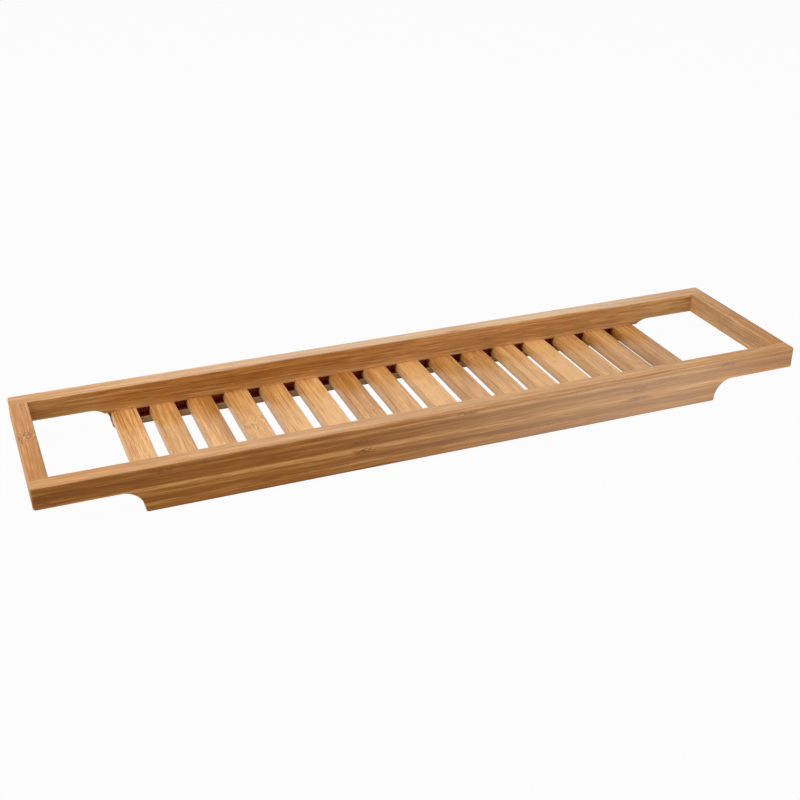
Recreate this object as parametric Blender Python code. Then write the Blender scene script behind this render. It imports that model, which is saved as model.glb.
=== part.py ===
"""Slatted bamboo bath caddy that lies across a bath, with a stepped rail on each long side.

Metres, +Z up. X runs along the caddy and Y across it, from front to rear. The origin is on the
surface that the caddy stands on, under its centre.

The two side rails are boards whose ends are cut away below to half their height, so that the ends
lie on the rims of the bath and the deep middle drops between them. Two end rails, held by dowels,
join the side rails into a frame. The slats lie with their ends in a groove along the inner face of
each side rail, which runs out through the steps.
"""

import math

import bmesh
import bpy
from mathutils import Matrix, Vector

# Frame
FRAME_LENGTH = 0.640
FRAME_WIDTH = 0.150
RAIL_HEIGHT = 0.036
RAIL_THICKNESS = 0.014
END_RAIL_THICKNESS = 0.014
END_HEIGHT = 0.0175
REST_LENGTH = 0.0775
FOOT_RADIUS = 0.002
CORNER_RADIUS = 0.0025
EDGE_RADIUS = 0.0012

# Slats and the groove that holds their ends
SLAT_WIDTH = 0.020
SLAT_THICKNESS = 0.009
SLAT_GAP = 0.011
SLAT_EDGE_RADIUS = 0.0006
GROOVE_DEPTH = 0.007
GROOVE_LIP = 0.006

# Dowels, two in each corner of the frame, one above the other
DOWEL_RADIUS = 0.0025
DOWEL_LENGTH = 0.024
DOWEL_CHAMFER = 0.0006
DOWEL_COVER = 0.005
DOWEL_SPREAD_SHARE = 0.5
FLUTE_COUNT = 12
FLUTE_DEPTH = 0.0002

# The gap that glue fills between two pieces
GLUE_LINE = 0.0003

# How finely round shapes are drawn, and how far a cutter runs past what it cuts
HOLLOW_STEPS = 20
FOOT_STEPS = 5
CORNER_SEGMENTS = 5
EDGE_SEGMENTS = 4
SLAT_EDGE_SEGMENTS = 2
HOLE_SIDES = 24
SHARP_ANGLE = math.radians(30)
OVERRUN = 0.002
WELD_DISTANCE = 0.000001

# What follows from the sizes above
OPENING_LENGTH = FRAME_LENGTH - 2 * END_RAIL_THICKNESS
OPENING_WIDTH = FRAME_WIDTH - 2 * RAIL_THICKNESS
DROP_LENGTH = FRAME_LENGTH - 2 * REST_LENGTH
STEP_HEIGHT = RAIL_HEIGHT - END_HEIGHT
HOLLOW_RADIUS = STEP_HEIGHT - FOOT_RADIUS
SLAT_COUNT = max(2, round((DROP_LENGTH + SLAT_GAP) / (SLAT_WIDTH + SLAT_GAP)))
SLAT_PITCH = (DROP_LENGTH - SLAT_WIDTH) / (SLAT_COUNT - 1)
SLAT_LENGTH = OPENING_WIDTH + 2 * (GROOVE_DEPTH - GLUE_LINE)
SLAT_BOTTOM = GROOVE_LIP + GLUE_LINE
GROOVE_TOP = SLAT_BOTTOM + SLAT_THICKNESS + GLUE_LINE
HOLE_RADIUS = DOWEL_RADIUS + GLUE_LINE
HOLE_LENGTH = DOWEL_LENGTH + 2 * GLUE_LINE
HOLE_MIDDLE = FRAME_WIDTH / 2 - DOWEL_COVER - HOLE_LENGTH / 2

# Finishes: linear colour and roughness
SIDE_BAMBOO = (0.50, 0.24, 0.085)
END_BAMBOO = (0.55, 0.28, 0.11)
SLAT_BAMBOO = (0.62, 0.34, 0.13)
DOWEL_BEECH = (0.66, 0.46, 0.26)
LACQUERED = 0.48
BARE = 0.75


def clear_scene():
    for old in list(bpy.data.objects):
        bpy.data.objects.remove(old, do_unlink=True)


def new_collection(name):
    collection = bpy.data.collections.new(name)
    bpy.context.scene.collection.children.link(collection)
    return collection


def new_material(name, colour, roughness):
    material = bpy.data.materials.new(name)
    material.use_nodes = True
    shader = material.node_tree.nodes["Principled BSDF"]
    shader.inputs["Base Color"].default_value = (*colour, 1.0)
    shader.inputs["Roughness"].default_value = roughness
    shader.inputs["Metallic"].default_value = 0.0
    return material


def shaded_mesh(form, name):
    """The mesh of a bmesh, which is freed, shaded smooth but for its sharp edges."""
    mesh = bpy.data.meshes.new(name)
    form.to_mesh(mesh)
    form.free()
    mesh.shade_smooth()
    mesh.set_sharp_from_angle(angle=SHARP_ANGLE)
    return mesh


def new_piece(name, mesh, caddy, material):
    piece = bpy.data.objects.new(name, mesh)
    caddy.objects.link(piece)
    if not mesh.materials:
        mesh.materials.append(material)
    return piece


def new_cutter(name, form, cutters):
    cutter = bpy.data.objects.new(name, shaded_mesh(form, name))
    cutters.objects.link(cutter)
    cutter.hide_render = True
    cutter.display_type = "WIRE"
    return cutter


def box_form(low, high):
    low, high = Vector(low), Vector(high)
    form = bmesh.new()
    to_size = Matrix.Diagonal((*(high - low), 1.0))
    bmesh.ops.create_cube(form, size=1.0, matrix=Matrix.Translation((low + high) / 2) @ to_size)
    return form


def cut(piece, cutters):
    """Takes the cutters out of a piece, and shades the edges that they leave."""
    for cutter in cutters:
        modifier = piece.modifiers.new(cutter.name, "BOOLEAN")
        modifier.operation = "DIFFERENCE"
        modifier.solver = "EXACT"
        modifier.object = cutter
    bpy.context.view_layer.update()
    form = bmesh.new()
    form.from_object(piece, bpy.context.evaluated_depsgraph_get())
    piece.modifiers.clear()
    material = piece.data.materials[0]
    piece.data = shaded_mesh(form, piece.name)
    piece.data.materials.append(material)


def arc(centre, radius, start, end, steps):
    turn = (end - start) / steps
    return [
        (
            centre[0] + radius * math.cos(start + turn * step),
            centre[1] + radius * math.sin(start + turn * step),
        )
        for step in range(steps + 1)
    ]


def extruded(name, outline, thickness, chamfer=0.0):
    """A closed outline drawn in X and Z, made solid along Y, with flat faces whole."""
    curve = bpy.data.curves.new(name, "CURVE")
    curve.dimensions = "2D"
    curve.fill_mode = "BOTH"
    curve.extrude = thickness / 2 - chamfer
    curve.bevel_depth = chamfer
    curve.bevel_resolution = 0
    curve.offset = -chamfer
    spline = curve.splines.new("POLY")
    spline.points.add(len(outline) - 1)
    for point, (x, z) in zip(spline.points, outline):
        point.co = (x, z, 0, 1)
    spline.use_cyclic_u = True
    guide = bpy.data.objects.new(name, curve)
    bpy.context.scene.collection.objects.link(guide)
    guide.rotation_euler = (math.pi / 2, 0, 0)
    bpy.context.view_layer.update()
    mesh = bpy.data.meshes.new_from_object(guide.evaluated_get(bpy.context.evaluated_depsgraph_get()))
    mesh.transform(guide.matrix_world)
    bpy.data.objects.remove(guide, do_unlink=True)
    form = bmesh.new()
    form.from_mesh(mesh)
    bpy.data.meshes.remove(mesh)
    bmesh.ops.remove_doubles(form, verts=form.verts, dist=WELD_DISTANCE)
    for cap in (-thickness / 2, thickness / 2):
        faces = [face for face in form.faces if all(lies_at(edge, 1, cap) for edge in face.edges)]
        bmesh.ops.dissolve_faces(form, faces=faces)
    bmesh.ops.recalc_face_normals(form, faces=form.faces)
    return form


def round_edges(form, edges, radius, segments):
    bmesh.ops.bevel(
        form,
        geom=edges,
        offset=radius,
        offset_type="OFFSET",
        segments=segments,
        profile=0.5,
        affect="EDGES",
        clamp_overlap=True,
    )


def is_sharp(edge):
    return edge.is_convex and edge.calc_face_angle() > SHARP_ANGLE


def lies_at(edge, axis, place):
    return all(abs(vertex.co[axis] - place) < WELD_DISTANCE for vertex in edge.verts)


def side_rail_outline():
    """The side rail seen from the front, as (x, z) points that go round it once.

    The underside of the rest runs in to a hollow quarter circle, which turns down the step and
    meets the rounded corner of the foot.
    """
    half_length = FRAME_LENGTH / 2
    half_drop = DROP_LENGTH / 2
    quarter = math.pi / 2
    hollow_centre = (half_drop + HOLLOW_RADIUS, FOOT_RADIUS)
    foot_centre = (half_drop - FOOT_RADIUS, FOOT_RADIUS)
    hollow = arc(hollow_centre, HOLLOW_RADIUS, quarter, math.pi, HOLLOW_STEPS)
    foot = arc(foot_centre, FOOT_RADIUS, 0, -quarter, FOOT_STEPS)
    right = [(half_length, RAIL_HEIGHT), (half_length, STEP_HEIGHT), *hollow, *foot[1:]]
    left = [(-x, z) for x, z in reversed(right)]
    return right + left


def rounded_side_rail(side):
    """A side rail with its edges rounded, but for those that an end rail is glued against.

    side is -1 for the front rail and 1 for the rear one.
    """
    form = extruded("side_rail_outline", side_rail_outline(), RAIL_THICKNESS)
    bmesh.ops.translate(form, verts=form.verts, vec=(0, side * (FRAME_WIDTH - RAIL_THICKNESS) / 2, 0))
    for joint in (-OPENING_LENGTH / 2, OPENING_LENGTH / 2):
        everything = [*form.verts, *form.edges, *form.faces]
        bmesh.ops.bisect_plane(form, geom=everything, plane_co=(joint, 0, 0), plane_no=(1, 0, 0))

    outer = side * FRAME_WIDTH / 2
    ends = (-FRAME_LENGTH / 2, FRAME_LENGTH / 2)
    corners = [
        edge
        for edge in form.edges
        if lies_at(edge, 1, outer) and any(lies_at(edge, 0, end) for end in ends)
    ]
    round_edges(form, corners, CORNER_RADIUS, CORNER_SEGMENTS)

    inner = side * OPENING_WIDTH / 2
    exposed = []
    for edge in form.edges:
        middle = (edge.verts[0].co + edge.verts[1].co) / 2
        glued = lies_at(edge, 1, inner) and abs(middle.x) > OPENING_LENGTH / 2
        if is_sharp(edge) and not glued:
            exposed.append(edge)
    round_edges(form, exposed, EDGE_RADIUS, EDGE_SEGMENTS)
    return form


def groove_cutter(name, side, cutters):
    """The groove for the slats' ends, long enough to run out through the hollows of both steps."""
    mouth = side * (OPENING_WIDTH / 2 - OVERRUN)
    floor = side * (OPENING_WIDTH / 2 + GROOVE_DEPTH)
    reach = DROP_LENGTH / 2 + HOLLOW_RADIUS + OVERRUN
    low = (-reach, min(mouth, floor), GROOVE_LIP)
    high = (reach, max(mouth, floor), GROOVE_TOP)
    return new_cutter(name, box_form(low, high), cutters)


def dowel_places():
    """(name, side, end, place) of each dowel: side is -1 in front, and end is -1 on the left."""
    x = (FRAME_LENGTH - END_RAIL_THICKNESS) / 2
    middle = STEP_HEIGHT + END_HEIGHT / 2
    rise = DOWEL_SPREAD_SHARE * END_HEIGHT / 2
    places = []
    for side, side_name in ((-1, "front"), (1, "rear")):
        for end, end_name in ((-1, "left"), (1, "right")):
            for level, level_name in ((-1, "lower"), (1, "upper")):
                name = f"dowel_{side_name}_{end_name}_{level_name}"
                place = (end * x, side * HOLE_MIDDLE, middle + level * rise)
                places.append((name, side, end, place))
    return places


def dowel_drill(name, place, cutters):
    """The hole for one dowel, which runs on from the side rail into the end rail."""
    form = bmesh.new()
    bmesh.ops.create_cone(
        form,
        cap_ends=True,
        segments=HOLE_SIDES,
        radius1=HOLE_RADIUS,
        radius2=HOLE_RADIUS,
        depth=HOLE_LENGTH,
        matrix=Matrix.Translation(place) @ Matrix.Rotation(math.pi / 2, 4, "X"),
    )
    return new_cutter(name, form, cutters)


def build_side_rail(name, side, drills, caddy, cutters, material):
    rail = new_piece(name, shaded_mesh(rounded_side_rail(side), name), caddy, material)
    holes = [drill for drill, drill_side, _ in drills if drill_side == side]
    cut(rail, [groove_cutter(f"{name}_groove", side, cutters), *holes])


def build_end_rail(name, end, drills, caddy, material):
    """An end rail, rounded along its length and square where it butts against the side rails."""
    near = end * OPENING_LENGTH / 2
    far = end * FRAME_LENGTH / 2
    half_width = OPENING_WIDTH / 2 - GLUE_LINE
    form = box_form((min(near, far), -half_width, STEP_HEIGHT), (max(near, far), half_width, RAIL_HEIGHT))
    across = [edge for edge in form.edges if edge.verts[0].co.y * edge.verts[1].co.y < 0]
    round_edges(form, across, EDGE_RADIUS, EDGE_SEGMENTS)
    rail = new_piece(name, shaded_mesh(form, name), caddy, material)
    cut(rail, [drill for drill, _, drill_end in drills if drill_end == end])


def build_slats(caddy, material):
    """The slats from left to right, the first and last flush with the ends of the drop."""
    half = Vector((SLAT_WIDTH, SLAT_LENGTH)) / 2
    form = box_form((-half.x, -half.y, 0), (half.x, half.y, SLAT_THICKNESS))
    round_edges(form, form.edges[:], SLAT_EDGE_RADIUS, SLAT_EDGE_SEGMENTS)
    mesh = shaded_mesh(form, "slat")
    first = (SLAT_WIDTH - DROP_LENGTH) / 2
    for number in range(SLAT_COUNT):
        slat = new_piece(f"slat_{number + 1:02d}", mesh, caddy, material)
        slat.location = (first + number * SLAT_PITCH, 0, SLAT_BOTTOM)


def dowel_outline():
    """A circle with shallow flutes, which let the glue out of a hole as the dowel goes in."""
    points = []
    for step in range(2 * FLUTE_COUNT):
        radius = DOWEL_RADIUS - (step % 2) * FLUTE_DEPTH
        angle = math.pi * step / FLUTE_COUNT
        points.append((radius * math.cos(angle), radius * math.sin(angle)))
    return points


def build_dowels(caddy, material):
    form = extruded("dowel_outline", dowel_outline(), DOWEL_LENGTH, DOWEL_CHAMFER)
    mesh = shaded_mesh(form, "dowel")
    for name, _, _, place in dowel_places():
        dowel = new_piece(name, mesh, caddy, material)
        dowel.location = place


def main():
    clear_scene()
    caddy = new_collection("bath_caddy")
    cutters = new_collection("cutters")
    side_bamboo = new_material("side_bamboo", SIDE_BAMBOO, LACQUERED)
    end_bamboo = new_material("end_bamboo", END_BAMBOO, LACQUERED)
    slat_bamboo = new_material("slat_bamboo", SLAT_BAMBOO, LACQUERED)
    dowel_beech = new_material("dowel_beech", DOWEL_BEECH, BARE)

    drills = [
        (dowel_drill(f"{name}_drill", place, cutters), side, end)
        for name, side, end, place in dowel_places()
    ]
    build_side_rail("front_rail", -1, drills, caddy, cutters, side_bamboo)
    build_side_rail("rear_rail", 1, drills, caddy, cutters, side_bamboo)
    build_end_rail("left_end_rail", -1, drills, caddy, end_bamboo)
    build_end_rail("right_end_rail", 1, drills, caddy, end_bamboo)
    build_slats(caddy, slat_bamboo)
    build_dowels(caddy, dowel_beech)


main()
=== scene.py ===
"""Slatted bamboo bath caddy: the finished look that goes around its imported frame.

Metres, +Z up, in the frame of the CAD model. The rails and slats are drawn again in a grained
bamboo, with finer edges, and with a low shoulder near the ends of the slats. The dowels stay as
they are and get a beech of their own.
"""

import math

import bmesh
import bpy
from mathutils import Matrix, Vector


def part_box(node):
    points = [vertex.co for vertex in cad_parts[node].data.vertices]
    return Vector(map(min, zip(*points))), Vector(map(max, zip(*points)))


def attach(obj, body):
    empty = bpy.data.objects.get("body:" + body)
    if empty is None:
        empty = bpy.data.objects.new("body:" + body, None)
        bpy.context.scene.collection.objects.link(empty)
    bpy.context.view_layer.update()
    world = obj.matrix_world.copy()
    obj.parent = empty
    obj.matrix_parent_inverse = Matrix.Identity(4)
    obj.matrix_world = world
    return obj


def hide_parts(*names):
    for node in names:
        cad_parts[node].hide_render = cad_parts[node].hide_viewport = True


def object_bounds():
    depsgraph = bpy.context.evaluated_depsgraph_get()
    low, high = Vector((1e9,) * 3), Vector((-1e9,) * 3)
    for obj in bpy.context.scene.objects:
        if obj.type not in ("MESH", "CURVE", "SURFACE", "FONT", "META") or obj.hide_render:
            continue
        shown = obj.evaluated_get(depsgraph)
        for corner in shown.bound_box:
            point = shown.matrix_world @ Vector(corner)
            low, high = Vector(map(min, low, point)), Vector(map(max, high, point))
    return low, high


bl_info = {
    "name": "Bath Caddy",
    "version": (1, 0, 0),
    "blender": (4, 5, 0),
    "location": "View3D > Sidebar > Caddy",
    "description": "Dresses a slatted bath caddy in laminated bamboo",
    "category": "Object",
}

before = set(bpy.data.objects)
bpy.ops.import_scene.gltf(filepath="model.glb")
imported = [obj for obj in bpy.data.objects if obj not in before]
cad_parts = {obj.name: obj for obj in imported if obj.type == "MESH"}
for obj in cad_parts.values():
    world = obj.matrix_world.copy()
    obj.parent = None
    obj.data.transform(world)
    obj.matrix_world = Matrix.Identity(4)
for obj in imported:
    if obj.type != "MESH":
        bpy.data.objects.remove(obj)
CAD_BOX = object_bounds()
FRONT_LOW, FRONT_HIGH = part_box("front_rail")
LEFT_END_LOW, LEFT_END_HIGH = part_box("left_end_rail")
FIRST_SLAT_LOW, FIRST_SLAT_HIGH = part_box("slat_01")

BODY = "root"
SHARP_ANGLE = math.radians(35)
WELD_DISTANCE = 1e-6
# Decimals that the places of faces are sorted by
SORT_DECIMALS = 6
# How far the cutter of the groove runs past the board
OVERRUN = 0.002

# Steps that round forms are drawn with
HOLLOW_STEPS = 48
FOOT_STEPS = 8
CORNER_SEGMENTS = 10
EDGE_SEGMENTS = 6
SLAT_EDGE_SEGMENTS = 4
GROOVE_EDGE_STEPS = 3

# Where nodes stand in their tree
NODES_IN_ROW = 12
NODE_WIDTH = 200
NODE_HEIGHT = 260

# Noise in the wood: features a metre along the fibres and twice across them, detail, roughness
NOISES = {
    "broad": ((2.5, 60, 60), 2.0, 0.5),
    "streaks": ((4.5, 300, 300), 5.0, 0.64),
    "lines": ((30, 860, 860), 3.0, 0.55),
    "fibres": ((60, 1500, 1500), 3.0, 0.6),
    "bundles": ((75, 1250, 1250), 2.0, 0.45),
    "dots": ((330, 620, 620), 1.0, 0.5),
    "wave": ((20, 170, 170), 2.0, 0.5),
    "sway": ((55, 120, 120), 2.0, 0.5),
    "blotches": ((240, 700, 700), 2.0, 0.5),
    "drift": ((5, 20, 60), 2.0, 0.5),
    "beech_grain": ((40, 900, 900), 4.0, 0.6),
    "beech_flecks": ((350, 2600, 2600), 1.0, 0.5),
}
# The level at which each kind of spot starts to show in its noise, and shows in full
SPOTS = {
    "bundles": (0.54, 0.66),
    "dots": (0.52, 0.66),
    "blotches": (0.42, 0.60),
    "beech_flecks": (0.58, 0.66),
}

# Tones of the bamboo: the range that the colours are spread over, and where each colour lies in it
DARKEST_TONE = -0.5
PALEST_TONE = 1.0
TONE_COLOURS = (
    (0.0, "umber"), (0.333, "caramel"), (0.533, "amber"), (0.747, "honey"), (1.0, "straw"),
)
# How far each layer of the grain moves the tone
GRAIN_TONES = {"broad": 0.42, "streaks": 1.25, "lines": 1.30, "fibres": 0.50}
BUNDLE_DARKNESS = 0.38
BUNDLE_ROUGHNESS = 0.08
BUNDLE_DEPTH = 0.35
STREAK_ROUGHNESS = 0.16
GRAIN_HEIGHT = 0.5

# A knuckle: how far its line waves and the fibres sway, and how strong its marks are
KNUCKLE_WAVE = 0.007
KNUCKLE_SWAY = 0.007
KNUCKLE_PALENESS = 0.10
DOT_DARKNESS = 0.55
LINE_DARKNESS = 0.18
LINE_DEPTH = 0.5
SMEAR_DARKNESS = 0.90
SMEAR_BETWEEN_BLOTCHES = 0.05

# Bumps in the wood
BUMP_STRENGTH = 0.5
BAMBOO_BUMP = 0.00012
BEECH_BUMP = 0.0001

# Soft borders: how far past its line each one starts and ends
KNUCKLE_LINE = (0.0002, 0.0020)
KNUCKLE_BAND = (0.003, 0.018)
KNUCKLE_SMEAR = (0.002, 0.014)
TOP_EDGE = (-0.0007, -0.0002)
GROOVE_MOUTH = (0.00005, 0.0003)
GROOVE_FLOOR = (0.0002, 0.0004)
GROOVE_END = (-0.0010, -0.0002)
GROOVE_ROOF = (0.0001, 0.0003)
GROOVE_LEDGE = (-0.0003, -0.0001)
DEEPEST_SHADE_LEDGE = (0.0002, 0.0012)
INNER_FACE = (0.0003, 0.0008)
INNER_FACE_END = (-0.0040, -0.0010)
LIP_TOP = (0.0, 0.0002)
BROW_FOOT = (0.0004, 0.0012)
BROW_TOP = (0.0022, 0.0034)
SHADE_AND_SCAR_TOP = (-0.0010, -0.0006)
EDGE_SHADE_WIDTH = (0.0006, 0.0030)
EDGE_SHADE_FROM = (-0.24, -0.08)
EDGE_SHADE_TO = (0.17, 0.24)
SCAR = (0.003, 0.013)
SCAR_INWARD = (0.0030, 0.0055)
ROUND_SCAR = (0.004, 0.040)
RAIL_ENDS = (0.20, 0.32)
SLAT_MARGIN = (0.0004, 0.0030)
SHADE_TOWARDS_REAR = (0.026, 0.050)
SHADE_TOWARDS_RIGHT = (-0.10, 0.14)
# The same in shares of a strip's height, out from the middle of its wall
KNUCKLE_IN_WALL = (0.08, 0.40)
SEAM = (0.480, 0.495)

# The bamboo strips that the rails are laminated from. Each is cut from another place in the cane.
STRIP_KNUCKLES = (0.082, -0.154, -0.074, -0.075, -0.229)
STRIP_SHIFT_ALONG = 0.731
STRIP_SHIFT_ACROSS = 0.213
BOARD_SHIFT_THROUGH = 0.37
LAYER_DRIFT = 0.0012
SEAM_DARKNESS = 0.10
RAIL_GLOSS = 0.16
RAIL_MATT = 0.38
# Stops of (share of the rail's height, tone), and how much they count on the top of the rail
SIDE_LAYERS = (
    (0.0, 0.24), (0.06, 0.48), (0.18, 0.62), (0.24, 0.36), (0.32, 0.32),
    (0.37, 0.56), (0.44, 0.58), (0.49, 0.78), (0.54, 0.72), (0.58, 0.44),
    (0.74, 0.34), (0.80, 0.42), (0.86, 0.58), (0.92, 0.42), (1.0, 0.74),
)
SIDE_TOP_CONTRAST = 1.35
END_LAYERS = ((0.5, 0.45), (0.62, 0.55), (0.78, 0.40), (0.9, 0.55), (1.0, 0.55))
END_TOP_CONTRAST = 0.6

# The side rails' painted light and shade, and their scar
BROW_HIGHLIGHT = 0.32
SHADE_AND_SCAR_DARKNESS = 0.42
SHEEN_LOST_TO_SHADE_AND_SCAR = 0.85
ROUND_SCAR_STRENGTH = 0.30
LIP_LIGHT = 0.55
# How the painted sheen comes and goes from left to right: start, end, and how much there is outside
# them
FACE_SHEEN_COMES = (-0.16, 0.20, 0.0)
FACE_SHEEN_GOES = (0.20, 0.33, 0.50)
TOP_SHEEN_COMES = (-0.33, -0.06, 0.35)
TOP_SHEEN_GOES = (0.18, 0.33, 0.40)

# What sets the rails apart: how pale the board is, how much its layers differ in tone, where in the
# cane its grain comes from, how plain its knuckles are, how much painted sheen its upright faces
# and its top have, how much painted light and shade both get towards its ends, how much painted
# shade darkens the front edge of its top, and where along it the scar is. A pair is the amount at
# the middle and how much more there is at the right end of a side rail, or at the rear end of an
# end rail.
NO_SCAR = 9.0
SIDE_RAILS = {
    "front_rail": {
        "board_tone": (0.24, 0.03),
        "layer_contrast": 1.40,
        "grain_shift": 0.0,
        "knuckle_strength": 1.0,
        "face_sheen": 0.25,
        "top_sheen": (0.19, -0.08),
        "face_end_shading": -0.14,
        "top_end_shading": 0.0,
        "edge_shade": 0.6,
        "scar_place": NO_SCAR,
    },
    "rear_rail": {
        "board_tone": (0.44, 0.06),
        "layer_contrast": 0.55,
        "grain_shift": 3.1,
        "knuckle_strength": 0.4,
        "face_sheen": 0.06,
        "top_sheen": (0.42, 0.04),
        "face_end_shading": 0.18,
        "top_end_shading": -0.22,
        "edge_shade": 1.0,
        "scar_place": 0.062,
    },
}
END_RAILS = {
    "left_end_rail": {
        "board_tone": (0.30, 0.05),
        "grain_shift": 7.0,
        "knuckle_strength": 0.9,
        "face_sheen": (0.08, 0.04),
        "top_sheen": (0.06, 0.02),
    },
    "right_end_rail": {
        "board_tone": (0.50, -0.01),
        "grain_shift": 11.0,
        "knuckle_strength": 0.3,
        "face_sheen": (0.165, -0.03),
        "top_sheen": (0.055, 0.06),
    },
}
BOTH_END_RAILS = {"layer_contrast": 0.6, "grain_way": 1.0, "knuckle_place": 0.004}

# How pale each slat is from left to right, from 0 for dark caramel to 1 for pale straw
SLAT_TONES = (
    0.78, 0.67, 0.60, 0.77, 0.78, 0.94, 0.51, 0.71, 1.04, 0.62, 0.73, 0.90, 1.12, 0.79, 0.66, 0.56,
)
# How much paler each slat is at its right edge than in the middle, and at its rear end, where the
# values below 0 are painted shade of the rear rail
SLAT_SIDE_LEANS = {1: 0.04, 3: -0.10, 6: 0.06, 7: 0.04}
SLAT_REAR_SHADES = (
    -0.14, -0.12, -0.34, -0.14, -0.26, -0.22, -0.22, -0.18,
    -0.20, -0.20, -0.32, -0.11, -0.02, -0.04, 0.0, 0.05,
)
# Slats with a knuckle in sight: slat number to (place along the slat, strength)
SLAT_KNUCKLES = {4: (-0.003, 1.0), 7: (-0.012, 0.5), 11: (0.046, 0.8), 14: (0.060, 0.4)}
SLAT_SHIFT = 0.83
REAR_SHADE_DARKNESS = 0.20
MARGIN_SHADE = 0.14
# From the foot to the top of a slat's sides: how much their tone is painted paler, and how much
# pale painted light is mixed in
SIDE_SHADING = (-0.06, 0.10)
SIDE_PALE_LIGHT = (0.48, 0.28)
# On the sides and on the top of a slat
SLAT_GLOSS = (0.20, 0.50)
SLAT_MATT = (0.32, 0.24)

BEECH_CONTRAST = 0.9
FLECK_DARKNESS = 0.6
BEECH_ROUGHNESS = 0.7
BEECH_ROUGHNESS_CHANGE = 0.3

FLOOR_HALF_SIZE = 12.0
FLOOR_GAP = 0.0002
FLOOR_ROUGHNESS = 0.9
FLOOR_WHITENESS = 0.96
SOFT_LIGHT = 0.26
# Lamps: name, place, what it points at, (width, depth), power
LAMPS = (
    ("overhead_lamp", (-0.15, 0.15, 1.8), (0.0, 0.0, 0.0), (2.4, 1.6), 15.0),
    ("left_lamp", (-1.0, -0.15, 0.95), (0.0, 0.0, 0.02), (0.9, 0.9), 12.8),
    ("front_lamp", (0.40, -0.60, 0.10), (0.10, -0.07, 0.02), (0.4, 0.16), 2.15),
)

SENSOR_WIDTH = 36.0
LENS = 55.383
CAMERA_PLACE = (-0.35269, -0.84243, 0.48021)
CAMERA_TURN = (62.74227, -0.19727, -21.69923)


def length_property(name, default, about):
    return bpy.props.FloatProperty(name=name, description=about, default=default, unit="LENGTH")


class CaddySizes(bpy.types.PropertyGroup):
    """Sizes of the caddy that its finished look is drawn from."""

    frame_length: length_property("Frame length", FRONT_HIGH.x - FRONT_LOW.x, "Length over all")
    frame_width: length_property("Frame width", CAD_BOX[1].y - CAD_BOX[0].y, "Width over all")
    rail_height: length_property(
        "Rail height", FRONT_HIGH.z - FRONT_LOW.z, "Height of the side rails in the middle"
    )
    rail_thickness: length_property(
        "Rail thickness", FRONT_HIGH.y - FRONT_LOW.y, "Thickness of the side rails"
    )
    end_rail_thickness: length_property(
        "End rail thickness", LEFT_END_HIGH.x - LEFT_END_LOW.x, "Thickness of the end rails"
    )
    end_height: length_property(
        "End height", LEFT_END_HIGH.z - LEFT_END_LOW.z, "Height of the frame at its ends"
    )
    rest_length: length_property(
        "Rest length", FIRST_SLAT_LOW.x - FRONT_LOW.x, "Length of each end, which lies on the bath"
    )
    foot_radius: length_property("Foot radius", 0.002, "Radius of the lower corner of the step")
    corner_radius: length_property("Corner radius", 0.0025, "Radius of the upright outer corners")
    edge_radius: length_property("Edge radius", 0.0007, "Radius of the rails' long edges")
    slat_edge_radius: length_property("Slat edge radius", 0.0008, "Radius of the slats' edges")
    groove_lip: length_property("Groove lip", 0.0061, "Height of the lip under the slats' ends")
    groove_depth: length_property("Groove depth", 0.007, "Depth of the groove for the slats' ends")
    slat_shoulder: length_property("Slat shoulder", 0.0009, "Height of a slat's top over its ends")
    groove_slack: length_property("Groove slack", 0.0001, "Gap between a slat and what it fits")
    groove_edge_radius: length_property("Groove edge radius", 0.0002, "Radius of its long edges")
    joint_line: length_property("Joint line", 0.00006, "Line where an end rail meets a side rail")
    strip_height: length_property("Strip height", 0.008, "Height of the rails' bamboo strips")
    knuckle_spacing: length_property("Knuckle spacing", 0.24, "Distance from knuckle to knuckle")


def colour_property(name, default, about):
    limits = {"size": 3, "min": 0.0, "max": 1.0}
    return bpy.props.FloatVectorProperty(
        name=name, description=about, default=default, subtype="COLOR", **limits
    )


class CaddyColours(bpy.types.PropertyGroup):
    """Colours of the caddy and of the floor that it stands on."""

    umber: colour_property("Umber", (0.20, 0.058, 0.008), "Darkest streaks in the bamboo")
    caramel: colour_property("Caramel", (0.315, 0.112, 0.018), "Darkest wall of the bamboo strips")
    amber: colour_property("Amber", (0.430, 0.174, 0.036), "Dense bamboo, as on the rails' sides")
    honey: colour_property("Honey", (0.60, 0.290, 0.090), "Bamboo between dense and pale")
    straw: colour_property("Straw", (0.82, 0.455, 0.178), "Palest bamboo")
    knuckle: colour_property("Knuckle", (0.20, 0.060, 0.015), "Knuckle lines across the strips")
    fibre: colour_property("Fibre", (0.30, 0.110, 0.026), "Dark fibre bundles in the grain")
    # Painted sheen: a pale colour mixed into the rails where a sheen of light is painted on
    painted_sheen: colour_property("Bloom", (0.80, 0.66, 0.50), "Pale bloom where the lacquer is thin")
    painted_pale_light: colour_property("Sawn", (0.84, 0.60, 0.34), "Sawn bamboo, as on the slats' sides")
    # Painted pale light: mixed in on the slats' sides and on the side rails' lip
    beech: colour_property("Beech", (0.66, 0.46, 0.26), "Bare beech of the dowels")
    beech_fleck: colour_property("Beech fleck", (0.40, 0.23, 0.11), "Short flecks in the beech")
    # Painted shade: dark colours put inside the groove, darkest at its floor, where it lies in deep
    # shade
    groove_shade: colour_property("Scorch", (0.46, 0.055, 0.012), "Bare bamboo inside the groove")
    char: colour_property("Char", (0.20, 0.026, 0.008), "Lowest part of the groove, burnt most")
    floor: colour_property("Floor", (0.42, 0.42, 0.42), "Floor under the caddy")


def inner_face(sizes):
    """How far the inner faces of the side rails are from the middle of the caddy."""
    return sizes.frame_width / 2 - sizes.rail_thickness


def half_drop(sizes):
    """Half of the length that the side rails have their full height over."""
    return sizes.frame_length / 2 - sizes.rest_length


def half_opening(sizes):
    """Half of the length between the end rails."""
    return sizes.frame_length / 2 - sizes.end_rail_thickness


def groove_top(sizes):
    return FIRST_SLAT_HIGH.z - sizes.slat_shoulder + sizes.groove_slack


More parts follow.
